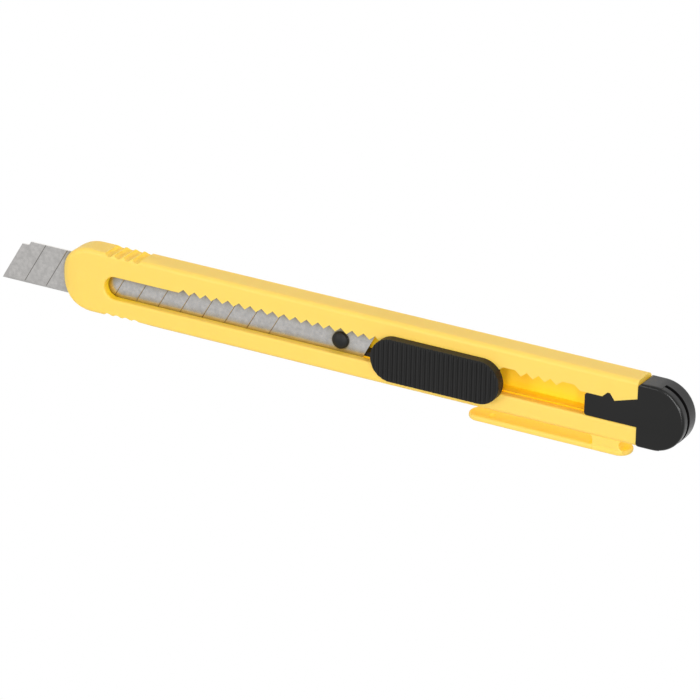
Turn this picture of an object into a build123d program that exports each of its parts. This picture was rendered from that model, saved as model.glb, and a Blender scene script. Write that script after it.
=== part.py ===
"""Snap-off utility knife: a 9 mm segmented blade in a moulded handle with a ratchet slider.

Frame: the knife lies on its back. +X runs along the handle from the blade's tip to the end cap,
+Y from the cutting edge to the spine, +Z out of the slotted front face. The origin lies on the
handle's flat back face, near its middle. All sizes are in millimetres.
"""

from build123d import *

import math
import os

# --- handle ---------------------------------------------------------------------------------
NOSE_X = -63.3
REAR_X = 63.175
HANDLE_WIDTH = 13.45
HANDLE_THICK = 5.8
FRONT_ROUND = 1.0
BACK_ROUND = 1.4
NOSE_LENGTH = 7.2
NOSE_DRUM_OFFSET = 4.6
NOSE_DRUM_LENGTH = 5.0

SIDE_Y = HANDLE_WIDTH / 2

# --- blade ----------------------------------------------------------------------------------
BLADE_WIDTH = 9.0
BLADE_THICK = 0.38
SEGMENT_PITCH = 5.0
SEGMENT_COUNT = 12
BLADE_EDGE_LENGTH = 80.9
SCORE_ANGLE = 60.0
SCORE_DEPTH = 0.09
SCORE_HALF_WIDTH = 0.095
SCORE_OVERSHOOT = 0.2
NICK_DEPTH = 0.8
NICK_LENGTH = 1.55
TAIL_LEAN = 0.52
EDGE_BEVEL = 0.55
EDGE_LAND = 0.04
BLADE_PROTRUSION = 14.375
BLADE_TIP_X = NOSE_X - BLADE_PROTRUSION
BLADE_EDGE_Y = -4.525
BLADE_FRONT_Z = 4.1
BLADE_BACK_Z = BLADE_FRONT_Z - BLADE_THICK
SCORE_LEAN = 1 / math.tan(math.radians(SCORE_ANGLE))

# --- slot, ratchet and hollow of the handle ---------------------------------------------------
SLOT_LOW_Y = -2.75
SLOT_HIGH_Y = 1.92
SLOT_FRONT_X = -52.95
LIP_ROUND = 0.4
TOOTH_PITCH = 2.5
TOOTH_DEPTH = 1.0
NOTCH_COUNT = 35
FIRST_NOTCH_X = -34.905
PARKING_NOTCHES = (28, 33)
BLADE_SIDE_PLAY = 0.15
BLADE_ROOF_PLAY = 0.1
BLADE_FLOOR_PLAY = 0.05
FRONT_WALL_Z = BLADE_FRONT_Z + BLADE_ROOF_PLAY
CHANNEL_FLOOR_Z = 1.2
CHANNEL_FRONT_X = -45.8

# --- grip scallops beside the nose ------------------------------------------------------------
SCALLOP_COUNT = 4
SCALLOP_PITCH = 2.07
UPPER_SCALLOP_X = -51.93
LOWER_SCALLOP_X = -52.15
UPPER_SCALLOP_DEPTH = 0.6
LOWER_SCALLOP_DEPTH = 0.34
SCALLOP_RADIUS = 0.98
UPPER_WAIST_LEAD = 4.5
LOWER_WAIST_LEAD = 0.4
LOWER_WAIST_DEPTH = 0.38
LOWER_WAIST_END_X = -38.0
UPPER_WAIST_DEPTH = 0.15
UPPER_WAIST_END_X = -41.0

# --- slider -----------------------------------------------------------------------------------
FIT = 0.1
STUD_X = -0.78
STUD_Y = -0.37
STUD_RADIUS = 1.7
STUD_TOP_Z = BLADE_FRONT_Z + 0.95
STUD_DOME = 0.5
STUD_RIM_ROUND = 0.15
BLADE_HOLE_RADIUS = 1.76
EYE_RADIUS = 2.0
CARRIER_BOTTOM_Z = CHANNEL_FLOOR_Z + FIT
CARRIER_TOP_Z = BLADE_BACK_Z - 0.04
ARM_HEIGHT = 0.8
NECK_FRONT_X = 9.0
NECK_REAR_X = 32.2
NECK_LOW_Y = SLOT_LOW_Y + FIT
NECK_HIGH_Y = SLOT_HIGH_Y - FIT
PAD_LENGTH = 27.65
PAD_WIDTH = 8.74
PAD_CENTRE_X = 21.5
PAD_CENTRE_Y = -0.455
PAD_BOTTOM_Z = HANDLE_THICK + 0.13
PAD_HEIGHT = 2.17
PAD_RIM_ROUND = 0.4
RIB_PITCH = 1.0
RIB_COUNT = 27
RIB_GROOVE_RADIUS = 0.42
RIB_GROOVE_DEPTH = 0.36

# --- pawl spring --------------------------------------------------------------------------------
PAWL_PIVOT_X = 10.2
PAWL_PIVOT_Y = 1.225
PAWL_KNUCKLE_RADIUS = 0.55
PAWL_SOCKET_PLAY = 0.03
PAWL_RAMP_PLAY = 0.02
PAWL_SHOULDER = 0.6
PAWL_TOP_Y = 1.845
PAWL_END_X = 31.8
PAWL_LOW_Z = FRONT_WALL_Z + 0.12
PAWL_HIGH_Z = HANDLE_THICK - 0.08
PAWL_SWING = 5.8
PAWL_TOOTH_NOTCHES = (21, 26)
PAWL_TOOTH_PLAY = 0.07

# --- end cap ------------------------------------------------------------------------------------
CAP_GAP = 0.05
CAP_RADIUS = 6.5
CAP_CENTRE_X = 66.48
CAP_CENTRE_Y = -0.21
CAP_LOW_Z = 0.15
CAP_HIGH_Z = 5.85
CAP_FRONT_ROUND = 0.6
CAP_BACK_ROUND = 1.0
CAP_LOWER_CORNER_ROUND = 0.9
CAP_UPPER_CORNER_ROUND = 1.0
SNAP_SLOT_DEPTH = 5.1
SNAP_SLOT_LOW_Z = 3.45
SNAP_SLOT_WIDTH = 0.85
SNAP_PLATE_STEP = 0.06
SPIGOT_LENGTH = 7.5
TONGUE_FRONT_X = 52.3
TONGUE_LOW_Z = FRONT_WALL_Z + 0.05
TONGUE_HIGH_Z = HANDLE_THICK - 0.03
TONGUE_PLAY = 0.06
TONGUE_FRONT_ROUND = 0.6
TONGUE_PEAK_ROUND = 0.3
LATCH_START_X = 55.93
LATCH_PEAK_X = 56.98
LATCH_PEAK_WIDTH = 0.55
LATCH_END_X = 58.48
LATCH_END_Y = 1.6
FLARE_END_Y = 3.02

# --- pocket clip --------------------------------------------------------------------------------
CLIP_FRONT_X = 27.0
CLIP_REAR_X = 61.2
CLIP_OUTER_Y = -9.78
CLIP_THICK = 1.25
CLIP_LOW_Z = 0.4
CLIP_HIGH_Z = 5.4
CLIP_HINGE_X = 53.3
CLIP_EDGE_ROUND = 0.5
CLIP_CORNER_ROUND = 2.4
CLIP_SOCKET_PLAY = 0.04
BRIDGE_FRONT_X = 53.9
BRIDGE_REAR_X = 59.4
BRIDGE_LOW_Z = 1.6
BRIDGE_HIGH_Z = 5.15
NUB_X = 31.9
NUB_Z = 3.3
NUB_RADIUS = 0.75
NUB_HEIGHT = 0.35

# --- shared -------------------------------------------------------------------------------------
CUT = 1.0
SEEK = 0.01


def box_between(low, high):
    """A box from its lowest corner to its highest corner."""
    size = [b - a for a, b in zip(low, high)]
    middle = [(a + b) / 2 for a, b in zip(low, high)]
    return Pos(*middle) * Box(*size)


def prism(points, low_z, high_z):
    """A closed outline of XY points, extruded from low_z to high_z."""
    face = make_face(Polyline(*points, close=True))
    return extrude(Pos(0, 0, low_z) * face, high_z - low_z)


def cylinder_at(x, y, radius, low_z, high_z):
    """An upright cylinder."""
    return Pos(x, y, (low_z + high_z) / 2) * Cylinder(radius, high_z - low_z)


def stadium(length, width, centre_x, centre_y, low_z, high_z):
    """A straight-sided plate with full round ends."""
    face = Pos(centre_x, centre_y, low_z) * SlotOverall(length, width)
    return extrude(face, high_z - low_z)


def edges_at_height(part, z, keep=lambda edge: True):
    """The edges that lie in one horizontal plane and pass a test."""
    found = []
    for edge in part.edges():
        bounds = edge.bounding_box()
        if abs(bounds.min.Z - z) < 1e-4 and abs(bounds.max.Z - z) < 1e-4 and keep(edge):
            found.append(edge)
    return found


def upright_edges(part):
    """The edges that run along Z for at least a millimetre."""
    return [edge for edge in part.edges().filter_by(Axis.Z) if edge.length > CUT]


# --- the handle -----------------------------------------------------------------------------------
def handle_blank():
    """The outer form: a bar with a rounded nose whose two faces close in towards its tip."""
    nose_x = NOSE_X + NOSE_LENGTH
    nose = extrude(Pos(nose_x, 0, 0) * Ellipse(NOSE_LENGTH, SIDE_Y), HANDLE_THICK)
    bar = box_between((nose_x, -SIDE_Y, 0), (REAR_X, SIDE_Y, HANDLE_THICK))
    drum_x = NOSE_X + NOSE_DRUM_OFFSET
    drum_face = Rot(90, 0, 0) * Ellipse(NOSE_DRUM_LENGTH, HANDLE_THICK / 2)
    drum = extrude(Pos(drum_x, 0, HANDLE_THICK / 2) * drum_face, HANDLE_WIDTH, both=True)
    rear = box_between((drum_x, -HANDLE_WIDTH, -CUT), (REAR_X + CUT, HANDLE_WIDTH, HANDLE_THICK + CUT))
    blank = (nose + bar) & (drum + rear)
    blank = fillet([edge for edge in blank.edges() if is_rim(edge, front=True)], FRONT_ROUND)
    return fillet([edge for edge in blank.edges() if is_rim(edge, front=False)], BACK_ROUND)


def is_rim(edge, front):
    """Whether an edge of the blank belongs to the rim of its front or of its back face."""
    bounds, centre = edge.bounding_box(), edge.center()
    if front != (centre.Z > HANDLE_THICK / 2) or bounds.size.Z > HANDLE_THICK / 2:
        return False
    if centre.X > REAR_X - SEEK:
        return False
    return abs(centre.Y) > SIDE_Y / 2 or centre.X < NOSE_X + NOSE_DRUM_OFFSET / 2


def notch_x(index):
    """Where the top of a ratchet notch lies."""
    return FIRST_NOTCH_X + index * TOOTH_PITCH


def latch_edge(play):
    """The latch's outline on the slot's upper edge, drawn in by the given play."""
    peak_y = SLOT_HIGH_Y + TOOTH_DEPTH - play
    return [
        (LATCH_START_X + play, SLOT_HIGH_Y - play),
        (LATCH_PEAK_X, peak_y),
        (LATCH_PEAK_X + LATCH_PEAK_WIDTH, peak_y),
        (LATCH_END_X - play, LATCH_END_Y - play),
        (REAR_X, FLARE_END_Y - play),
    ]


def slot_upper_edge():
    """The slot's upper edge from front to rear: ratchet, latch notch and flared mouth."""
    top_y = SLOT_HIGH_Y + TOOTH_DEPTH
    half = TOOTH_PITCH / 2
    points = [(notch_x(0) - half, SLOT_HIGH_Y)]
    for index in range(NOTCH_COUNT):
        points.append((notch_x(index), top_y))
        if index not in PARKING_NOTCHES:
            points.append((notch_x(index) + half, SLOT_HIGH_Y))
    return points + latch_edge(0)


def slot_cutter():
    """Everything that the front wall's slot removes: the toothed length and the round front end."""
    start_x = FIRST_NOTCH_X - TOOTH_PITCH / 2
    rear = [(REAR_X + CUT, FLARE_END_Y), (REAR_X + CUT, SLOT_LOW_Y), (start_x, SLOT_LOW_Y)]
    toothed = prism(slot_upper_edge() + rear, BLADE_FRONT_Z, HANDLE_THICK)
    width = SLOT_HIGH_Y - SLOT_LOW_Y
    middle_y = (SLOT_HIGH_Y + SLOT_LOW_Y) / 2
    length = start_x - SLOT_FRONT_X + width
    middle_x = SLOT_FRONT_X + length / 2
    return toothed + stadium(length, width, middle_x, middle_y, BLADE_FRONT_Z, HANDLE_THICK)


def scallop_cutter(side, first_x, depth, waist_depth, waist_lead, waist_end_x):
    """Four rounded grip scallops with a shallow waist behind them, on the side +1 or -1."""
    base_y = side * (SIDE_Y - waist_depth)
    outside_y = side * (SIDE_Y + CUT)
    last_x = first_x + (SCALLOP_COUNT - 1) * SCALLOP_PITCH
    reach = math.sqrt(SCALLOP_RADIUS**2 - (SCALLOP_RADIUS - depth) ** 2)
    waist = [
        (first_x - reach, base_y),
        (last_x + reach, base_y),
        (waist_end_x, side * SIDE_Y),
        (waist_end_x, outside_y),
        (first_x - reach - waist_lead, outside_y),
        (first_x - reach - waist_lead, side * SIDE_Y),
    ]
    cutter = prism(waist, -CUT, HANDLE_THICK + CUT)
    centre_y = base_y + side * (SCALLOP_RADIUS - depth)
    for index in range(SCALLOP_COUNT):
        x = first_x + index * SCALLOP_PITCH
        cutter += cylinder_at(x, centre_y, SCALLOP_RADIUS, -CUT, HANDLE_THICK + CUT)
    return cutter


def is_slot_lip(edge):
    """Whether an edge in the front face is the slot's lower lip or its round front end."""
    centre = edge.center()
    on_lip = abs(centre.Y - SLOT_LOW_Y) < SEEK
    at_front = SLOT_FRONT_X - SEEK < centre.X < SLOT_FRONT_X + SLOT_HIGH_Y - SLOT_LOW_Y
    return on_lip or (at_front and SLOT_LOW_Y < centre.Y < SLOT_HIGH_Y)


def make_handle():
    """The moulded handle: front slot with ratchet, blade groove, slider channel and grips."""
    body = handle_blank() - slot_cutter()
    body = fillet(edges_at_height(body, HANDLE_THICK, is_slot_lip), LIP_ROUND)
    body -= box_between(
        (NOSE_X - CUT, BLADE_EDGE_Y - BLADE_SIDE_PLAY, BLADE_BACK_Z - BLADE_FLOOR_PLAY),
        (REAR_X + CUT, BLADE_EDGE_Y + BLADE_WIDTH + BLADE_SIDE_PLAY, FRONT_WALL_Z),
    )
    body -= box_between(
        (CHANNEL_FRONT_X, SLOT_LOW_Y, CHANNEL_FLOOR_Z), (REAR_X + CUT, SLOT_HIGH_Y, BLADE_FRONT_Z)
    )
    upper = (UPPER_SCALLOP_X, UPPER_SCALLOP_DEPTH, UPPER_WAIST_DEPTH, UPPER_WAIST_LEAD, UPPER_WAIST_END_X)
    lower = (LOWER_SCALLOP_X, LOWER_SCALLOP_DEPTH, LOWER_WAIST_DEPTH, LOWER_WAIST_LEAD, LOWER_WAIST_END_X)
    return body - scallop_cutter(1, *upper) - scallop_cutter(-1, *lower)


# --- the blade --------------------------------------------------------------------------------------
def score_x(index, y):
    """Where score line number index, or the tail's end behind them, crosses the height y."""
    lean = SCORE_LEAN if index <= SEGMENT_COUNT else TAIL_LEAN
    return BLADE_TIP_X + index * SEGMENT_PITCH + y * lean


def blade_strip():
    """The whole blade as one ground strip, wider than needed at both ends."""
    half = BLADE_THICK / 2
    section = Polyline(
        (EDGE_BEVEL, -half),
        (BLADE_WIDTH, -half),
        (BLADE_WIDTH, half),
        (EDGE_BEVEL, half),
        (0, EDGE_LAND / 2),
        (0, -EDGE_LAND / 2),
        close=True,
    )
    start = Plane(
        origin=(BLADE_TIP_X - CUT, BLADE_EDGE_Y, BLADE_FRONT_Z - half),
        x_dir=(0, 1, 0),
        z_dir=(1, 0, 0),
    )
    length = BLADE_EDGE_LENGTH + BLADE_WIDTH * SCORE_LEAN + 2 * CUT
    return extrude(start * make_face(section), length)


def slanted_band(first, last):
    """A parallelogram block between two score lines, given as score numbers."""
    low, high = -CUT, BLADE_WIDTH + CUT
    points = [
        (score_x(first, low), BLADE_EDGE_Y + low),
        (score_x(last, low), BLADE_EDGE_Y + low),
        (score_x(last, high), BLADE_EDGE_Y + high),
        (score_x(first, high), BLADE_EDGE_Y + high),
    ]
    return prism(points, BLADE_BACK_Z - CUT, BLADE_FRONT_Z + CUT)


def score_cutter(index):
    """The V groove of one score line in the blade's front face."""
    angle = math.radians(SCORE_ANGLE)
    length = (BLADE_WIDTH + 2 * CUT) / math.sin(angle)
    half = SCORE_HALF_WIDTH * (SCORE_DEPTH + SCORE_OVERSHOOT) / SCORE_DEPTH
    section = Polyline((0, SCORE_DEPTH), (half, -SCORE_OVERSHOOT), (-half, -SCORE_OVERSHOOT), close=True)
    start = Plane(
        origin=(score_x(index, -CUT), BLADE_EDGE_Y - CUT, BLADE_FRONT_Z),
        x_dir=(math.sin(angle), -math.cos(angle), 0),
        z_dir=(math.cos(angle), math.sin(angle), 0),
    )
    return extrude(start * make_face(section), length)


def tip_nick():
    """The small nick at the tip's spine corner."""
    low = BLADE_WIDTH - NICK_DEPTH
    front_x = score_x(0, low) - CUT
    rear_x = score_x(0, low) + NICK_LENGTH
    points = [
        (front_x, BLADE_EDGE_Y + low),
        (rear_x, BLADE_EDGE_Y + low),
        (rear_x + (NICK_DEPTH + CUT) * SCORE_LEAN, BLADE_EDGE_Y + BLADE_WIDTH + CUT),
        (front_x, BLADE_EDGE_Y + BLADE_WIDTH + CUT),
    ]
    return prism(points, BLADE_BACK_Z - CUT, BLADE_FRONT_Z + CUT)


def make_blade():
    """The blade's pieces: twelve snap-off segments and the tail with its hole."""
    strip = blade_strip()
    pieces = {}
    tail_end = BLADE_EDGE_LENGTH / SEGMENT_PITCH
    for index in range(SEGMENT_COUNT + 1):
        is_tail = index == SEGMENT_COUNT
        band = slanted_band(index, tail_end if is_tail else index + 1)
        piece = strip & band
        if index > 0:
            piece -= score_cutter(index)
        if not is_tail:
            piece -= score_cutter(index + 1)
        if index == 0:
            piece -= tip_nick()
        if is_tail:
            piece -= cylinder_at(STUD_X, STUD_Y, BLADE_HOLE_RADIUS, 0, HANDLE_THICK)
        name = "blade_tail" if is_tail else f"blade_segment_{index + 1:02d}"
        pieces[name] = piece
    return pieces


# --- the slider -------------------------------------------------------------------------------------
def make_carrier():
    """The strip that runs in the channel: its eye carries the stud that holds the blade's tail."""
    low, high = CARRIER_BOTTOM_Z, CARRIER_TOP_Z
    eye = cylinder_at(STUD_X, STUD_Y, EYE_RADIUS, low, high)
    arm = box_between((STUD_X, NECK_LOW_Y, low), (NECK_FRONT_X + CUT, NECK_LOW_Y + ARM_HEIGHT, high))
    sledge = box_between((NECK_FRONT_X, NECK_LOW_Y, low), (NECK_REAR_X, NECK_HIGH_Y, high))
    dome_radius = (STUD_RADIUS**2 + STUD_DOME**2) / (2 * STUD_DOME)
    dome = Pos(STUD_X, STUD_Y, STUD_TOP_Z - dome_radius) * Sphere(dome_radius)
    stud = cylinder_at(STUD_X, STUD_Y, STUD_RADIUS, low, STUD_TOP_Z) & dome
    stud = fillet(edges_at_height(stud, STUD_TOP_Z - STUD_DOME), STUD_RIM_ROUND)
    return eye + arm + sledge + stud


def neck():
    """The block through the slot that joins pad and carrier, relieved under the pawl spring."""
    slope = math.tan(math.radians(PAWL_SWING))
    socket = PAWL_KNUCKLE_RADIUS + PAWL_SOCKET_PLAY
    ramp_y = PAWL_PIVOT_Y - (socket + PAWL_RAMP_PLAY) / math.cos(math.radians(PAWL_SWING))
    points = [
        (NECK_FRONT_X, NECK_LOW_Y),
        (NECK_REAR_X, NECK_LOW_Y),
        (NECK_REAR_X, ramp_y - (NECK_REAR_X - PAWL_PIVOT_X) * slope),
        (PAWL_PIVOT_X, ramp_y),
        (PAWL_PIVOT_X, NECK_HIGH_Y),
        (NECK_FRONT_X, NECK_HIGH_Y),
    ]
    block = prism(points, CARRIER_TOP_Z, PAD_BOTTOM_Z)
    return block - cylinder_at(PAWL_PIVOT_X, PAWL_PIVOT_Y, socket, 0, PAD_BOTTOM_Z)


def make_thumb_pad():
    """The ribbed thumb pad with its neck."""
    top_z = PAD_BOTTOM_Z + PAD_HEIGHT
    pad = stadium(PAD_LENGTH, PAD_WIDTH, PAD_CENTRE_X, PAD_CENTRE_Y, PAD_BOTTOM_Z, top_z)
    pad = fillet(edges_at_height(pad, top_z), PAD_RIM_ROUND)
    groove = Rot(90, 0, 0) * Cylinder(RIB_GROOVE_RADIUS, PAD_WIDTH + CUT)
    groove_z = top_z + RIB_GROOVE_RADIUS - RIB_GROOVE_DEPTH
    first_x = PAD_CENTRE_X - RIB_COUNT / 2 * RIB_PITCH
    for index in range(RIB_COUNT + 1):
        pad -= Pos(first_x + index * RIB_PITCH, PAD_CENTRE_Y, groove_z) * groove
    return pad + neck()


def make_pawl():
    """The sprung arm with two ratchet teeth, moulded with the slider and bending at its front end."""
    low_y = PAWL_PIVOT_Y - PAWL_KNUCKLE_RADIUS
    arm = prism(
        [
            (PAWL_PIVOT_X, low_y),
            (PAWL_END_X, low_y),
            (PAWL_END_X, PAWL_TOP_Y),
            (PAWL_PIVOT_X + PAWL_SHOULDER, PAWL_TOP_Y),
            (PAWL_PIVOT_X, PAWL_PIVOT_Y + PAWL_KNUCKLE_RADIUS),
        ],
        PAWL_LOW_Z,
        PAWL_HIGH_Z,
    )
    arm += cylinder_at(PAWL_PIVOT_X, PAWL_PIVOT_Y, PAWL_KNUCKLE_RADIUS, PAWL_LOW_Z, PAWL_HIGH_Z)
    flank = TOOTH_PITCH / 2 / TOOTH_DEPTH
    notch_top_y = SLOT_HIGH_Y + TOOTH_DEPTH
    tip_y = notch_top_y - 2 * PAWL_TOOTH_PLAY
    tip_half = flank * (notch_top_y - tip_y) - PAWL_TOOTH_PLAY
    base_half = flank * (notch_top_y - PAWL_TOP_Y) - PAWL_TOOTH_PLAY
    for index in PAWL_TOOTH_NOTCHES:
        x = notch_x(index)
        base = [(x - base_half, PAWL_TOP_Y), (x + base_half, PAWL_TOP_Y)]
        tip = [(x + tip_half, tip_y), (x - tip_half, tip_y)]
        arm += prism(base + tip, PAWL_LOW_Z, PAWL_HIGH_Z)
    return arm


# --- the end cap ------------------------------------------------------------------------------------
def cap_corner_cutter(corner_x, corner_y, side, radius):
    """What rounds one of the cap's two upright corners beside the handle."""
    inner_y = corner_y - side * radius
    outer_y = corner_y + side * CUT
    high_z = HANDLE_THICK + CUT
    block = box_between(
        (corner_x - CUT, min(inner_y, outer_y), 0),
        (corner_x + radius, max(inner_y, outer_y), high_z),
    )
    return block - cylinder_at(corner_x + radius, inner_y, radius, 0, high_z)


def cap_plate(radius, front_x, low_z, high_z):
    """A D-shaped plate: straight towards the handle, round to the rear."""
    low_y, high_y = CAP_CENTRE_Y - radius, CAP_CENTRE_Y + radius
    disc = cylinder_at(CAP_CENTRE_X, CAP_CENTRE_Y, radius, low_z, high_z)
    plate = box_between((front_x, low_y, low_z), (CAP_CENTRE_X, high_y, high_z))
    plate += disc & box_between((CAP_CENTRE_X, low_y, low_z), (CAP_CENTRE_X + radius, high_y, high_z))
    rim = edges_at_height(plate, high_z, lambda edge: edge.center().X > front_x + SEEK)
    return fillet(rim, CAP_FRONT_ROUND)


def make_end_cap():
    """The D-shaped cap with its blade-snapping slot and the spigot in the handle's channel."""
    front_x = REAR_X + CAP_GAP
    slot_x = CAP_CENTRE_X + CAP_RADIUS - SNAP_SLOT_DEPTH
    cap = cap_plate(CAP_RADIUS, front_x, CAP_LOW_Z, CAP_HIGH_Z)
    back_rim = edges_at_height(cap, CAP_LOW_Z, lambda edge: edge.center().X > front_x + SEEK)
    cap = fillet(back_rim, CAP_BACK_ROUND)
    for side, radius in ((-1, CAP_LOWER_CORNER_ROUND), (1, CAP_UPPER_CORNER_ROUND)):
        cap -= cap_corner_cutter(front_x, CAP_CENTRE_Y + side * CAP_RADIUS, side, radius)
    cap -= box_between(
        (slot_x, -HANDLE_WIDTH, SNAP_SLOT_LOW_Z), (slot_x + HANDLE_WIDTH, HANDLE_WIDTH, CAP_HIGH_Z + CUT)
    )
    front_plate = cap_plate(
        CAP_RADIUS - SNAP_PLATE_STEP, front_x + CUT, SNAP_SLOT_LOW_Z + SNAP_SLOT_WIDTH, CAP_HIGH_Z
    )
    cap += front_plate & box_between(
        (slot_x - CUT, -HANDLE_WIDTH, 0), (slot_x + HANDLE_WIDTH, HANDLE_WIDTH, CAP_HIGH_Z + CUT)
    )
    return cap + box_between(
        (REAR_X - SPIGOT_LENGTH, NECK_LOW_Y, CARRIER_BOTTOM_Z),
        (front_x + CUT, NECK_HIGH_Y, BLADE_FRONT_Z),
    )


def make_cap_tongue():
    """The latch tongue of the cap: it fills the slot's open rear end, flush with the front face."""
    low_y = SLOT_LOW_Y + TONGUE_PLAY
    high_y = SLOT_HIGH_Y - TONGUE_PLAY
    edge = latch_edge(TONGUE_PLAY)
    outline = [(TONGUE_FRONT_X, low_y), (TONGUE_FRONT_X, high_y)] + edge[:-1]
    outline += [(REAR_X + CAP_GAP, edge[-1][1]), (REAR_X + CAP_GAP, low_y)]
    tongue = prism(outline, TONGUE_LOW_Z, TONGUE_HIGH_Z)
    front = [edge for edge in upright_edges(tongue) if abs(edge.center().X - TONGUE_FRONT_X) < SEEK]
    tongue = fillet(front, TONGUE_FRONT_ROUND)
    peak_y = SLOT_HIGH_Y + TOOTH_DEPTH - TONGUE_PLAY
    peak = [edge for edge in upright_edges(tongue) if abs(edge.center().Y - peak_y) < SEEK]
    return fillet(peak, TONGUE_PEAK_ROUND)


# --- the pocket clip --------------------------------------------------------------------------------
def clip_bar(front_x, rear_x, end_x):
    """A length of the clip's flat bar, with round corners and edges at its free end."""
    middle_y = CLIP_OUTER_Y + CLIP_THICK / 2
    bar = box_between(
        (front_x, CLIP_OUTER_Y, CLIP_LOW_Z), (rear_x, CLIP_OUTER_Y + CLIP_THICK, CLIP_HIGH_Z)
    )
    corners = [e for e in bar.edges() if abs(e.center().X - end_x) < SEEK and e.bounding_box().size.Y > CUT]
    bar = fillet(corners, CLIP_CORNER_ROUND)
    joint_x = front_x + rear_x - end_x
    rims = [
        e for e in bar.edges() if abs(e.center().X - joint_x) > SEEK and abs(e.center().Y - middle_y) > SEEK
    ]
    return fillet(rims, CLIP_EDGE_ROUND)


def clip_knuckle(play):
    """The round at the bar's bend, widened by the given play."""
    middle_y = CLIP_OUTER_Y + CLIP_THICK / 2
    return cylinder_at(CLIP_HINGE_X, middle_y, CLIP_THICK / 2 + play, CLIP_LOW_Z, CLIP_HIGH_Z)


def make_pocket_clip():
    """The clip's free arm; its rear end turns in the bridge, where the real arm bends."""
    bar = clip_bar(CLIP_FRONT_X, CLIP_HINGE_X, CLIP_FRONT_X)
    knuckle = fillet(clip_knuckle(0).edges().filter_by(GeomType.CIRCLE), CLIP_EDGE_ROUND)
    nub_y = CLIP_OUTER_Y + CLIP_THICK + NUB_HEIGHT - NUB_RADIUS
    return bar + knuckle + Pos(NUB_X, nub_y, NUB_Z) * Sphere(NUB_RADIUS)


def make_clip_bridge():
    """The clip's root: a post that flares into the handle's edge, and the rear end of the bar."""
    inner_y = CLIP_OUTER_Y + CLIP_THICK
    flare = (-SIDE_Y - inner_y) / 2
    middle_y = inner_y + flare
    post = box_between(
        (BRIDGE_FRONT_X, inner_y - CLIP_THICK / 2, BRIDGE_LOW_Z),
        (BRIDGE_REAR_X + flare, CUT - SIDE_Y, BRIDGE_HIGH_Z),
    )
    post += box_between(
        (BRIDGE_FRONT_X - flare, middle_y, BRIDGE_LOW_Z),
        (BRIDGE_FRONT_X, CUT - SIDE_Y, BRIDGE_HIGH_Z),
    )
    for x in (BRIDGE_FRONT_X - flare, BRIDGE_REAR_X + flare):
        post -= cylinder_at(x, middle_y, flare, 0, HANDLE_THICK)
    bar = clip_bar(CLIP_HINGE_X, CLIP_REAR_X, CLIP_REAR_X)
    return (bar + (post - handle_blank())) - clip_knuckle(CLIP_SOCKET_PLAY)


def build_parts():
    """Every node of the knife, by name."""
    parts = {
        "handle": make_handle(),
        "clip_bridge": make_clip_bridge(),
        "pocket_clip": make_pocket_clip(),
        "thumb_pad": make_thumb_pad(),
        "blade_carrier": make_carrier(),
        "pawl_spring": make_pawl(),
        "end_cap": make_end_cap(),
        "cap_tongue": make_cap_tongue(),
    }
    parts.update(make_blade())
    return parts


os.makedirs("parts", exist_ok=True)
for node, shape in build_parts().items():
    solids = shape.solids()
    print(f"{node}: {len(solids)} solid(s), {shape.volume:.2f} mm3")
    export_step(solids[0] if len(solids) == 1 else Compound(solids), f"parts/{node}.step")
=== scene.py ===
"""The look of a snap-off utility knife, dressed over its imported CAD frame.

Everything is in metres in the frame's own axes: +X from the blade's tip to the end cap, +Y from the
cutting edge to the spine, +Z out of the slotted front face.
"""

import logging  # noqa: E402
import math  # noqa: E402
from dataclasses import dataclass, field  # noqa: E402
from enum import Enum  # noqa: E402

import bmesh  # noqa: E402
import bpy  # noqa: E402
from mathutils import Matrix, Quaternion, Vector  # noqa: E402


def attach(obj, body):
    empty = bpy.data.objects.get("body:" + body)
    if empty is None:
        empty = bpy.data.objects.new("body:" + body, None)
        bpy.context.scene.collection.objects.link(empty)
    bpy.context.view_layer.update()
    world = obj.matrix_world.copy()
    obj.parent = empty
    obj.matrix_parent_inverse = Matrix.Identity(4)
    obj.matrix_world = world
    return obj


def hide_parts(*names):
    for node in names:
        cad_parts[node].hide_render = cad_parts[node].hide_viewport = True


LOG = logging.getLogger("utility_knife")
MM = 0.001
MERGE_DISTANCE = 0.0001 * MM
SOFT_CREASE = 32.0
FLAT_FACE_WEIGHT = 100
MELT_STRENGTH = 0.5
SHELTER_RAYS = 12

Colour = tuple[float, float, float]
Place = tuple[float, float, float]
Span = tuple[float, float]
Cut = tuple[Place, Place]
Socket = bpy.types.NodeSocket


class Finish(Enum):
    """The record's material slots."""

    YELLOW = "yellow_plastic"
    BLACK = "black_plastic"
    STEEL = "blade_steel"


# --- materials ---------------------------------------------------------------------------------------


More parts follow.
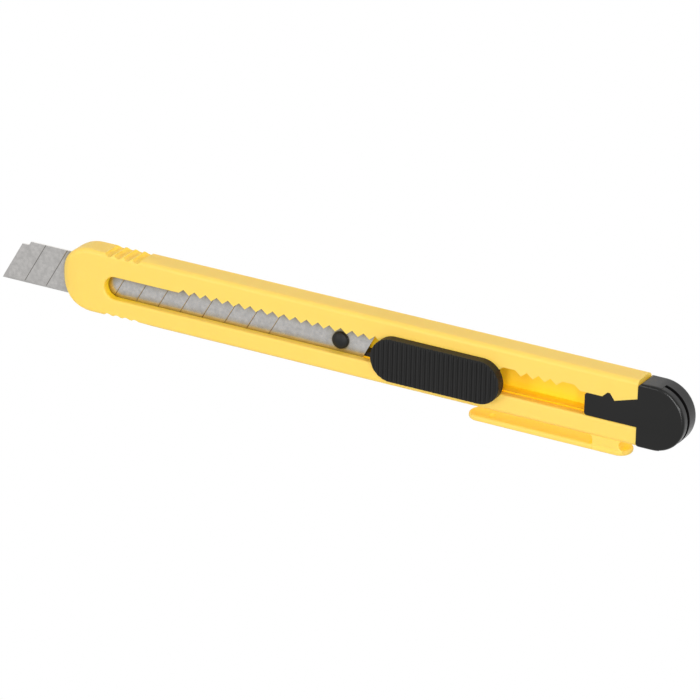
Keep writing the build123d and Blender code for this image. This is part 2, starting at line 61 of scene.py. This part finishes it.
class NodeSheet:
    """A small helper that adds and joins the shader nodes of one material."""

    def __init__(self, name: str) -> None:
        """Starts an empty node tree.

        Args:
            name: the material's name.
        """
        self.material = bpy.data.materials.new(name)
        self.material.use_nodes = True
        self.tree = self.material.node_tree
        self.tree.nodes.clear()
        self.output = self.add("ShaderNodeOutputMaterial")
        self.place = self.add("ShaderNodeTexCoord").outputs["Object"]

    def add(self, kind: str, **settings: object) -> bpy.types.Node:
        """Adds one node.

        Args:
            kind: the node's class name.
            **settings: properties to set on it.

        Returns:
            The new node.
        """
        node = self.tree.nodes.new(kind)
        for key, value in settings.items():
            setattr(node, key, value)
        return node

    def join(self, source: Socket, target: Socket) -> None:
        """Links an output to an input."""
        self.tree.links.new(source, target)

    def grain(
        self, size: float, octaves: float, stretch: Place = (1.0, 1.0, 1.0), turn: float = 0.0
    ) -> Socket:
        """A noise pattern on Object coordinates.

        Args:
            size: the grain's size in metres.
            octaves: how many ever finer layers the noise has above its first.
            stretch: how much longer the grain is along each axis.
            turn: a turn of the pattern about +Z, in radians.

        Returns:
            The noise's factor, from 0 to 1.
        """
        mapping = self.add("ShaderNodeMapping", vector_type="TEXTURE")
        mapping.inputs["Scale"].default_value = stretch
        mapping.inputs["Rotation"].default_value = (0.0, 0.0, turn)
        self.join(self.place, mapping.inputs["Vector"])
        noise = self.add("ShaderNodeTexNoise")
        noise.inputs["Scale"].default_value = 1.0 / size
        noise.inputs["Detail"].default_value = octaves
        self.join(mapping.outputs["Vector"], noise.inputs["Vector"])
        return noise.outputs["Fac"]

    def between(self, factor: Socket, low: Colour, high: Colour, span: Span) -> Socket:
        """A colour that runs from low to high while the factor runs over the span."""
        ramp = self.add("ShaderNodeValToRGB")
        first, last = ramp.color_ramp.elements
        first.position, last.position = span
        first.color, last.color = (*low, 1.0), (*high, 1.0)
        self.join(factor, ramp.inputs["Fac"])
        return ramp.outputs["Color"]

    def value_between(self, factor: Socket, values: Span, span: Span) -> Socket:
        """A number that runs from the first value to the second while the factor runs over the span."""
        limits = self.add("ShaderNodeMapRange")
        for key, value in zip(("From Min", "From Max", "To Min", "To Max"), (*span, *values)):
            limits.inputs[key].default_value = value
        self.join(factor, limits.inputs["Value"])
        return limits.outputs["Result"]

    def openness(self, reach: float, own_walls: bool = False) -> Socket:
        """How open a place is: 1 on an outer face, less in a slot, in a gap or beside a neighbour.

        Args:
            reach: how far away a wall still counts, in metres.
            own_walls: whether only the piece's own walls count.

        Returns:
            The factor, from 0 to 1.
        """
        shelter = self.add("ShaderNodeAmbientOcclusion", samples=SHELTER_RAYS, only_local=own_walls)
        shelter.inputs["Distance"].default_value = reach
        return shelter.outputs["AO"]

    def mixed(self, factor: Socket, low: Colour, high: Socket) -> Socket:
        """A colour mixed from low, at factor 0, to high, at factor 1."""
        blend = self.add("ShaderNodeMix", data_type="RGBA")
        self.join(factor, blend.inputs["Factor"])
        blend.inputs["A"].default_value = (*low, 1.0)
        self.join(high, blend.inputs["B"])
        return blend.outputs["Result"]

    def relief(self, height: Socket, depth: float) -> Socket:
        """A bump from a height pattern, depth metres deep."""
        bump = self.add("ShaderNodeBump")
        bump.inputs["Strength"].default_value = 1.0
        bump.inputs["Distance"].default_value = depth
        self.join(height, bump.inputs["Height"])
        return bump.outputs["Normal"]


@dataclass(frozen=True)
class MouldedPlastic:
    """Injection-moulded plastic: fine spark-eroded grain, faint flow clouds, optional painted shade and
    glow.

    Attributes:
        name: the material's name.
        tone: its main colour.
        cloud: the colour that the faint flow clouds lean to.
        gloss: the lowest and highest roughness, which follow the clouds.
        sheen_level: the specular level.
        depth_light: how much light travels under the surface.
        painted_shade: painted shade, the deeper colour in slots and notches, where light passes more
            plastic.
        painted_shade_reach: how far away a wall still casts the painted shade on a place, in metres.
        painted_shade_range: the openness at which a place has the painted shade, and the main colour.
        painted_glow: a painted glow, emitted at a fully closed place as if light came through the walls.
        painted_glow_reach: how far away a neighbour still counts for the painted glow, in metres.
        painted_glow_range: the openness up to which the painted glow is full, and from which there is
            none.
        cloud_size: the flow clouds' size across the knife, in metres.
        cloud_stretch: how much longer the clouds are along each axis.
        cloud_range: the noise at which a place has the main colour, and the cloud's.
        gloss_range: the noise at which a place has the lowest roughness, and the highest.
        grain_size: the grain's size in metres.
        grain_depth: the grain's depth in metres.
        octaves: how fine the clouds' and the grain's noise is.
        depth_colours: how far red, green and blue light travel, as shares of the depth.
        depth: how far light travels under the surface, in metres.
    """

    name: str
    tone: Colour
    cloud: Colour
    gloss: Span
    sheen_level: float
    depth_light: float
    painted_shade: Colour | None = None
    painted_shade_reach: float = 5 * MM
    painted_shade_range: Span = (0.55, 0.98)
    painted_glow: Colour | None = None
    painted_glow_reach: float = 4 * MM
    painted_glow_range: Span = (0.1, 0.78)
    cloud_size: float = 9 * MM
    cloud_stretch: Place = (3.0, 1.0, 1.0)
    cloud_range: Span = (0.35, 0.7)
    gloss_range: Span = (0.3, 0.7)
    grain_size: float = 0.25 * MM
    grain_depth: float = 0.004 * MM
    octaves: float = 3.0
    depth_colours: Colour = (1.0, 0.8, 0.5)
    depth: float = 1.2 * MM

    def build(self) -> bpy.types.Material:
        """Makes the material."""
        sheet = NodeSheet(self.name)
        shader = sheet.add("ShaderNodeBsdfPrincipled")
        clouds = sheet.grain(self.cloud_size, self.octaves, self.cloud_stretch)
        grain = sheet.grain(self.grain_size, self.octaves)
        colour = sheet.between(clouds, self.tone, self.cloud, self.cloud_range)
        # Painted shade: the piece's own slots, notches and recesses take a deeper, more saturated colour.
        if self.painted_shade is not None:
            openness = sheet.openness(self.painted_shade_reach, own_walls=True)
            open_part = sheet.value_between(openness, (0.0, 1.0), self.painted_shade_range)
            colour = sheet.mixed(open_part, self.painted_shade, colour)
        # Painted glow: places closed in by walls or neighbours emit a yellow-orange light, as if it came
        # through the walls.
        if self.painted_glow is not None:
            nearness = sheet.openness(self.painted_glow_reach)
            light = sheet.between(nearness, self.painted_glow, (0.0, 0.0, 0.0), self.painted_glow_range)
            sheet.join(light, shader.inputs["Emission Color"])
            shader.inputs["Emission Strength"].default_value = 1.0
        sheet.join(colour, shader.inputs["Base Color"])
        sheet.join(sheet.value_between(clouds, self.gloss, self.gloss_range), shader.inputs["Roughness"])
        sheet.join(sheet.relief(grain, self.grain_depth), shader.inputs["Normal"])
        shader.inputs["Specular IOR Level"].default_value = self.sheen_level
        shader.inputs["Subsurface Weight"].default_value = self.depth_light
        shader.inputs["Subsurface Radius"].default_value = self.depth_colours
        shader.inputs["Subsurface Scale"].default_value = self.depth
        sheet.join(shader.outputs["BSDF"], sheet.output.inputs["Surface"])
        return sheet.material


@dataclass(frozen=True)
class GroundSteel:
    """Thin carbon-steel strip: mottled rolled faces, faint grinding lines, painted groove shade and
    reflection.

    Attributes:
        name: the material's name.
        light: the brighter tone of the mottle.
        dark: the darker tone of the mottle.
        painted_groove_shade: painted shade, the darker tone at the bottom of the score lines.
        painted_wall_reflection: a painted reflection of the slot's yellow walls, the tone close beside
            them.
        groove_reach: how far away a wall of a score line still counts, in metres.
        groove_range: the openness at which a place has the painted groove shade, and the face's tone.
        wall_reach: how far away a yellow wall still counts, in metres.
        wall_range: the openness at which a place has the painted wall reflection, and the face's tone.
        mottle_size: the mottle's size in metres.
        mottle_octaves: how fine the mottle's noise is.
        mottle_range: the noise at which a place has the darker tone, and the brighter.
        gloss: the lowest and highest roughness, which follow the mottle.
        gloss_range: the noise at which a place has the lowest roughness, and the highest.
        line_size: the width of the grinding lines in metres.
        line_octaves: how fine the lines' noise is.
        line_stretch: how much longer the lines are along each of their axes.
        line_turn: how far the lines are turned from the blade's length, in radians.
        line_depth: the lines' depth in metres.
    """

    name: str
    light: Colour
    dark: Colour
    painted_groove_shade: Colour
    painted_wall_reflection: Colour
    groove_reach: float = 0.12 * MM
    groove_range: Span = (0.55, 0.97)
    wall_reach: float = 1.9 * MM
    wall_range: Span = (0.5, 0.98)
    mottle_size: float = 0.75 * MM
    mottle_octaves: float = 3.0
    mottle_range: Span = (0.32, 0.68)
    gloss: Span = (0.22, 0.26)
    gloss_range: Span = (0.3, 0.7)
    line_size: float = 0.09 * MM
    line_octaves: float = 2.0
    line_stretch: Place = (14.0, 1.0, 1.0)
    line_turn: float = math.radians(60)
    line_depth: float = 0.0006 * MM

    def build(self) -> bpy.types.Material:
        """Makes the material."""
        sheet = NodeSheet(self.name)
        shader = sheet.add("ShaderNodeBsdfPrincipled")
        mottle = sheet.grain(self.mottle_size, self.mottle_octaves)
        lines = sheet.grain(self.line_size, self.line_octaves, self.line_stretch, self.line_turn)
        rolled = sheet.between(mottle, self.dark, self.light, self.mottle_range)
        # Painted reflection: close beside the slot's yellow walls the tone turns golden brown, as if it
        # reflected them.
        off_walls = sheet.value_between(sheet.openness(self.wall_reach), (0.0, 1.0), self.wall_range)
        # Painted shade: inside the score-line grooves the tone turns a darker bluish grey.
        off_grooves = sheet.value_between(sheet.openness(self.groove_reach), (0.0, 1.0), self.groove_range)
        tone = sheet.mixed(off_grooves, self.painted_groove_shade, sheet.mixed(off_walls, self.painted_wall_reflection, rolled))
        sheet.join(tone, shader.inputs["Base Color"])
        sheet.join(sheet.value_between(mottle, self.gloss, self.gloss_range), shader.inputs["Roughness"])
        sheet.join(sheet.relief(lines, self.line_depth), shader.inputs["Normal"])
        shader.inputs["Metallic"].default_value = 1.0
        sheet.join(shader.outputs["BSDF"], sheet.output.inputs["Surface"])
        return sheet.material


@dataclass(frozen=True)
class StudioPaper:
    """The white paper that the knife lies on: it shows as pure white, and lights the knife as paper does.

    Attributes:
        name: the material's name.
        tone: the paper's colour for the light that it throws back.
        backlight: how much light comes through the paper from below.
        glow: how brightly it shows.
    """

    name: str = "studio_paper"
    tone: Colour = (0.4, 0.4, 0.4)
    backlight: float = 0.48
    glow: float = 1.0

    def build(self) -> bpy.types.Material:
        """Makes the material."""
        sheet = NodeSheet(self.name)
        paper = sheet.add("ShaderNodeBsdfPrincipled")
        paper.inputs["Base Color"].default_value = (*self.tone, 1.0)
        paper.inputs["Roughness"].default_value = 1.0
        paper.inputs["Specular IOR Level"].default_value = 0.0
        paper.inputs["Emission Color"].default_value = (1.0, 1.0, 1.0, 1.0)
        paper.inputs["Emission Strength"].default_value = self.backlight
        glow = sheet.add("ShaderNodeEmission")
        glow.inputs["Strength"].default_value = self.glow
        shown = sheet.add("ShaderNodeMixShader")
        sheet.join(sheet.add("ShaderNodeLightPath").outputs["Is Camera Ray"], shown.inputs["Fac"])
        sheet.join(paper.outputs["BSDF"], shown.inputs[1])
        sheet.join(glow.outputs["Emission"], shown.inputs[2])
        sheet.join(shown.outputs["Shader"], sheet.output.inputs["Surface"])
        return sheet.material


YELLOW_PLASTIC = MouldedPlastic(
    name="yellow_abs",
    tone=(0.975, 0.657, 0.128),
    cloud=(0.97, 0.645, 0.122),
    gloss=(0.46, 0.52),
    sheen_level=0.48,
    depth_light=0.4,
    # painted shade colour for the recesses
    painted_shade=(0.99, 0.645, 0.011),
    # painted glow colour for closed places
    painted_glow=(0.27, 0.168, 0.0),
)
PAD_PLASTIC = MouldedPlastic(
    name="black_abs_matt",
    tone=(0.0145, 0.0145, 0.0142),
    cloud=(0.016, 0.0158, 0.0156),
    gloss=(0.46, 0.52),
    sheen_level=0.25,
    depth_light=0.0,
)
CAP_PLASTIC = MouldedPlastic(
    name="black_abs_polished",
    tone=(0.0088, 0.0088, 0.0086),
    cloud=(0.0099, 0.0098, 0.0095),
    gloss=(0.2, 0.24),
    sheen_level=0.45,
    depth_light=0.0,
)
BLADE_STEEL = GroundSteel(
    name="blade_steel",
    light=(0.985, 0.96, 0.935),
    dark=(0.845, 0.825, 0.805),
    # painted shade in the score-line grooves
    painted_groove_shade=(0.48, 0.51, 0.6),
    # painted golden reflection of the yellow walls
    painted_wall_reflection=(0.37, 0.295, 0.105),
)


class Paint(Enum):
    """The finishes as they look: each is one of the record's slots and a material."""

    YELLOW = (Finish.YELLOW, YELLOW_PLASTIC)
    MATT_BLACK = (Finish.BLACK, PAD_PLASTIC)
    POLISHED_BLACK = (Finish.BLACK, CAP_PLASTIC)
    STEEL = (Finish.STEEL, BLADE_STEEL)


class Paintbox:
    """The materials of the knife, each made once and found by its paint."""

    def __init__(self) -> None:
        """Makes the materials."""
        self.materials = {paint: paint.value[1].build() for paint in Paint}

    def dress(self, piece: bpy.types.Object, paint: Paint) -> None:
        """Gives a piece one paint.

        Args:
            piece: the piece to dress.
            paint: its paint.
        """
        piece.data.materials.clear()
        piece.data.materials.append(self.materials[paint])


# --- pieces ------------------------------------------------------------------------------------------


def placed(name: str, content: bpy.types.ID) -> bpy.types.Object:
    """A new object in the scene, at the origin, that holds a mesh, a light or a camera."""
    holder = bpy.data.objects.new(name, content)
    bpy.context.scene.collection.objects.link(holder)
    return holder


def mounted(piece: bpy.types.Object, body: str, node: str) -> bpy.types.Object:
    """The piece, set to ride on a body and to stand for a CAD node."""
    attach(piece, body)
    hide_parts(node)
    return piece


def smooth_copy(node: str, name: str, body: str, crease: float = SOFT_CREASE) -> bpy.types.Object:
    """A merged copy of a CAD node with soft rounds and crisp edges.

    The copy's loose triangles are joined, edges that bend by more than the crease stay sharp, and the
    normals at the rounds are weighted by face area, so that flat faces stay flat.

    Args:
        node: the CAD node to copy and stand for.
        name: the new piece's name.
        body: the body it rides on.
        crease: the bend in degrees above which an edge stays sharp.

    Returns:
        The new piece.
    """
    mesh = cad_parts[node].data.copy()
    mesh.name = name
    if mesh.has_custom_normals:
        mesh.attributes.remove(mesh.attributes["custom_normal"])
    shell = bmesh.new()
    shell.from_mesh(mesh)
    bmesh.ops.remove_doubles(shell, verts=shell.verts, dist=MERGE_DISTANCE)
    shell.to_mesh(mesh)
    shell.free()
    mesh.shade_smooth()
    mesh.set_sharp_from_angle(angle=math.radians(crease))
    piece = placed(name, mesh)
    weighted = piece.modifiers.new("flat_faces", "WEIGHTED_NORMAL")
    weighted.weight = FLAT_FACE_WEIGHT
    weighted.keep_sharp = True
    return mounted(piece, body, node)


def merged_shell(nodes: tuple[str, ...]) -> bpy.types.Object:
    """One rough object from copies of CAD nodes that touch each other.

    Args:
        nodes: the CAD nodes to copy.

    Returns:
        The rough object.
    """
    shell = bmesh.new()
    for node in nodes:
        shell.from_mesh(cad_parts[node].data)
    bmesh.ops.remove_doubles(shell, verts=shell.verts, dist=MERGE_DISTANCE)
    mesh = bpy.data.meshes.new("rough")
    shell.to_mesh(mesh)
    shell.free()
    return placed("rough", mesh)


def melted_skin(nodes: tuple[str, ...], grid: float, passes: int) -> bpy.types.Mesh:
    """One skin over CAD nodes with every edge and inner corner melted round, as thin mouldings have.

    The nodes are rebuilt on a fine grid, and the skin's points are then drawn towards their neighbours.

    Args:
        nodes: the CAD nodes that the skin covers.
        grid: the grid's pitch in metres.
        passes: how many times the points are drawn together.

    Returns:
        The skin.
    """
    rough = merged_shell(nodes)
    rebuilt = rough.modifiers.new("grid", "REMESH")
    rebuilt.mode = "VOXEL"
    rebuilt.voxel_size = grid
    melted = rough.modifiers.new("melt", "SMOOTH")
    melted.factor = MELT_STRENGTH
    melted.iterations = passes
    bpy.context.view_layer.update()
    finished = rough.evaluated_get(bpy.context.evaluated_depsgraph_get())
    skin = bpy.data.meshes.new_from_object(finished)
    bpy.data.objects.remove(rough)
    return skin


def cut_piece(
    skin: bpy.types.Mesh, node: str, name: str, body: str, cuts: tuple[Cut, ...]
) -> bpy.types.Object:
    """What is left of a skin behind one or more planes, closed with flat faces.

    Args:
        skin: the skin to cut.
        node: the CAD node that the piece stands for.
        name: the new piece's name.
        body: the body it rides on.
        cuts: a point on each plane, and the plane's normal, which points at what is cut away.

    Returns:
        The new piece.
    """
    shell = bmesh.new()
    shell.from_mesh(skin)
    for face in shell.faces:
        face.smooth = True
    for place, normal in cuts:
        parts = [*shell.verts, *shell.edges, *shell.faces]
        bmesh.ops.bisect_plane(shell, geom=parts, plane_co=place, plane_no=normal, clear_outer=True)
        rim = [edge for edge in shell.edges if edge.is_boundary]
        for edge in rim:
            edge.smooth = False
        for face in bmesh.ops.holes_fill(shell, edges=rim, sides=0)["faces"]:
            face.smooth = False
    mesh = bpy.data.meshes.new(name)
    shell.to_mesh(mesh)
    shell.free()
    return mounted(placed(name, mesh), body, node)


@dataclass
class Handle:
    """The yellow handle moulding: its body, and the clip that grows out of its edge.

    Attributes:
        body: the body of the handle and of the clip's root.
        clip_body: the body of the clip's arm.
        bend: a place on the axis about which the arm bends.
        seam_offset: how far in front of that axis the root ends.
        seam_play: the gap between the root and the arm at rest.
        widest_bend: the bend that the arm's end leaves room for, in radians.
        grid: the pitch of the grid on which the clip is rebuilt.
        melt_passes: how often the clip's edges are drawn round.
        pieces: the pieces that were built.
    """

    body: str = "handle"
    clip_body: str = "clip"
    bend: Place = (53.3 * MM, -9.155 * MM, 2.9 * MM)
    seam_offset: float = 0.35 * MM
    seam_play: float = 0.01 * MM
    widest_bend: float = math.radians(5.0)
    grid: float = 0.1 * MM
    melt_passes: int = 8
    pieces: list[bpy.types.Object] = field(default_factory=list)

    def build(self, paints: Paintbox) -> None:
        """Makes the handle's body, then the clip as one skin that is cut where it bends."""
        self.pieces.append(smooth_copy("handle", "handle_shell", self.body))
        skin = melted_skin(("clip_bridge", "pocket_clip"), self.grid, self.melt_passes)
        self.pieces.append(cut_piece(skin, "clip_bridge", "clip_root", self.body, self.root_cuts()))
        self.pieces.append(cut_piece(skin, "pocket_clip", "clip_arm", self.clip_body, self.arm_cuts()))
        for piece in self.pieces:
            paints.dress(piece, Paint.YELLOW)

    def root_cuts(self) -> tuple[Cut, ...]:
        """The plane that ends the clip's root, just before the bend."""
        bend_x, bend_y, bend_z = self.bend
        return (((bend_x - self.seam_offset, bend_y, bend_z), (-1.0, 0.0, 0.0)),)

    def arm_cuts(self) -> tuple[Cut, ...]:
        """The planes that end the arm: one faces the root, one keeps the bent arm's outer edge off it."""
        bend_x, bend_y, bend_z = self.bend
        reach = self.seam_offset + self.seam_play
        facing = ((bend_x - reach, bend_y, bend_z), (1.0, 0.0, 0.0))
        lean_x = bend_x - reach / math.cos(self.widest_bend)
        leaning = (math.cos(self.widest_bend), -math.sin(self.widest_bend), 0.0)
        return (facing, ((lean_x, bend_y, bend_z), leaning))


@dataclass
class Blade:
    """The scored strip: its snap-off segments and its tail.

    Attributes:
        segments: how many segments it has.
        body: the body that it rides on.
        crease: the bend in degrees above which its edges stay sharp.
        pieces: the pieces that were built.
    """

    segments: int = 12
    body: str = "slider"
    crease: float = 12.0
    pieces: list[bpy.types.Object] = field(default_factory=list)

    def build(self, paints: Paintbox) -> None:
        """Dresses every piece of the blade."""
        nodes = [f"blade_segment_{number:02d}" for number in range(1, self.segments + 1)]
        for node in [*nodes, "blade_tail"]:
            piece = smooth_copy(node, f"{node}_ground", self.body, self.crease)
            paints.dress(piece, Paint.STEEL)
            self.pieces.append(piece)


@dataclass
class Slider:
    """The black thumb pad, the carrier below it and the pawl spring."""

    pieces: list[bpy.types.Object] = field(default_factory=list)

    def build(self, paints: Paintbox) -> None:
        """Makes the slider's pieces."""
        for node, body in (("thumb_pad", "slider"), ("blade_carrier", "slider"), ("pawl_spring", "pawl")):
            piece = smooth_copy(node, f"{node}_moulding", body)
            paints.dress(piece, Paint.MATT_BLACK)
            self.pieces.append(piece)


@dataclass
class EndCap:
    """The black cap with its latch tongue."""

    body: str = "cap"
    pieces: list[bpy.types.Object] = field(default_factory=list)

    def build(self, paints: Paintbox) -> None:
        """Makes the cap's pieces."""
        for node in ("end_cap", "cap_tongue"):
            piece = smooth_copy(node, f"{node}_moulding", self.body)
            paints.dress(piece, Paint.POLISHED_BLACK)
            self.pieces.append(piece)


# --- studio ------------------------------------------------------------------------------------------


@dataclass(frozen=True)
class Softbox:
    """A rectangular area light.

    Attributes:
        name: the light's name.
        direction: where it stands, seen from the knife.
        distance: how far away it is, in metres.
        size: its length and width in metres.
        power: its power in watts.
        lean: how far its length is turned about its line to the knife, in degrees.
    """

    name: str
    direction: Place
    distance: float
    size: Span
    power: float
    lean: float = 0.0

    def build(self) -> None:
        """Hangs the light, facing the knife."""
        lamp = bpy.data.lights.new(self.name, "AREA")
        lamp.shape = "RECTANGLE"
        lamp.size, lamp.size_y = self.size
        lamp.energy = self.power
        holder = placed(self.name, lamp)
        towards = Vector(self.direction).normalized()
        holder.location = towards * self.distance
        holder.rotation_mode = "QUATERNION"
        lean = Quaternion((0.0, 0.0, 1.0), math.radians(self.lean))
        holder.rotation_quaternion = towards.to_track_quat("Z", "Y") @ lean


@dataclass(frozen=True)
class Viewpoint:
    """Where the camera stands, what it looks at and how it is rolled.

    Attributes:
        place: where it stands, in metres.
        target: what it looks at, in metres.
        roll: its turn about the line of sight, in radians.
        lens: its focal length in millimetres.
        sensor: its sensor's width in millimetres.
        reach: the nearest and the farthest place that it sees, in metres.
    """

    place: Place = (0.43352, 0.38980, 0.79023)
    target: Place = (0.000629, -0.002607, 0.0029)
    roll: float = math.radians(1.307)
    lens: float = 263.336
    sensor: float = 36.0
    reach: Span = (0.05, 20.0)

    def build(self) -> None:
        """Makes the camera: its picture's up is +Y, turned by the roll about the line of sight."""
        camera = placed("camera", bpy.data.cameras.new("camera"))
        camera.data.lens = self.lens
        camera.data.sensor_width = self.sensor
        back = (Vector(self.place) - Vector(self.target)).normalized()
        up = Vector((0.0, 1.0, 0.0))
        up = (up - back * up.dot(back)).normalized()
        up = Quaternion(back, self.roll) @ up
        right = up.cross(back)
        turned = Matrix((right, up, back)).transposed().to_4x4()
        camera.matrix_world = Matrix.Translation(self.place) @ turned
        camera.data.clip_start, camera.data.clip_end = self.reach
        bpy.context.scene.camera = camera


@dataclass
class Studio:
    """The floor, the lights, the sky and the camera.

    Attributes:
        floor_size: the floor's length and width in metres.
        sky: how brightly the room lights the knife.
        softboxes: the lights: one long one over the knife's length, one from the nose, one small one
            whose mirror image runs along the cap's edge.
    """

    floor_size: float = 12.0
    sky: float = 0.45
    softboxes: tuple[Softbox, ...] = (
        Softbox("key", (0.26, 0.27, 0.93), 1.6, (1.9, 0.35), 14.0, -46.0),
        Softbox("fill", (-0.52, 0.11, 0.85), 1.8, (0.6, 0.6), 6.5),
        Softbox("glint", (0.66, 0.24, 0.71), 1.6, (0.25, 0.12), 4.5, -46.0),
    )

    def build(self) -> None:
        """Sets the stage."""
        half = self.floor_size / 2
        mesh = bpy.data.meshes.new("floor")
        corners = [(-half, -half, 0.0), (half, -half, 0.0), (half, half, 0.0), (-half, half, 0.0)]
        mesh.from_pydata(corners, [], [(0, 1, 2, 3)])
        mesh.materials.append(StudioPaper().build())
        floor = placed("floor", mesh)
        for softbox in self.softboxes:
            softbox.build()
        bpy.context.scene.world = self.white_room()
        bpy.context.scene.view_settings.view_transform = "Standard"
        Viewpoint().build()

    def white_room(self) -> bpy.types.World:
        """A room that is white to look at and lights the knife with the sky's strength.

        Returns:
            The world.
        """
        world = bpy.data.worlds.new("white_room")
        world.use_nodes = True
        tree = world.node_tree
        seen = tree.nodes.new("ShaderNodeLightPath").outputs["Is Camera Ray"]
        strength = tree.nodes.new("ShaderNodeMapRange")
        strength.inputs["To Min"].default_value = self.sky
        strength.inputs["To Max"].default_value = 1.0
        tree.links.new(seen, strength.inputs["Value"])
        background = tree.nodes["Background"]
        background.inputs["Color"].default_value = (1.0, 1.0, 1.0, 1.0)
        tree.links.new(strength.outputs["Result"], background.inputs["Strength"])
        return world


def main() -> None:
    """Builds the knife and its studio in order."""
    logging.basicConfig(level=logging.INFO, format="%(name)s: %(message)s")
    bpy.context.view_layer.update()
    paints = Paintbox()
    for assembly in (Handle(), Blade(), Slider(), EndCap()):
        assembly.build(paints)
        for piece in assembly.pieces:
            LOG.info("%s: %d faces", piece.name, len(piece.data.polygons))
    Studio().build()


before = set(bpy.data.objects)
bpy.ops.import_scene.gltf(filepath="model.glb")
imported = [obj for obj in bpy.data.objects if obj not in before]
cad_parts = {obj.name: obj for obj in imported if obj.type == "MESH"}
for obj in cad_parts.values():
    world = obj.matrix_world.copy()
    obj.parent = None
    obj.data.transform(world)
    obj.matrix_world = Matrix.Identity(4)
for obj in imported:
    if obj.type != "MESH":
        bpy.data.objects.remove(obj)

if __name__ == "__main__":
    bpy.context.view_layer.update()
    main()
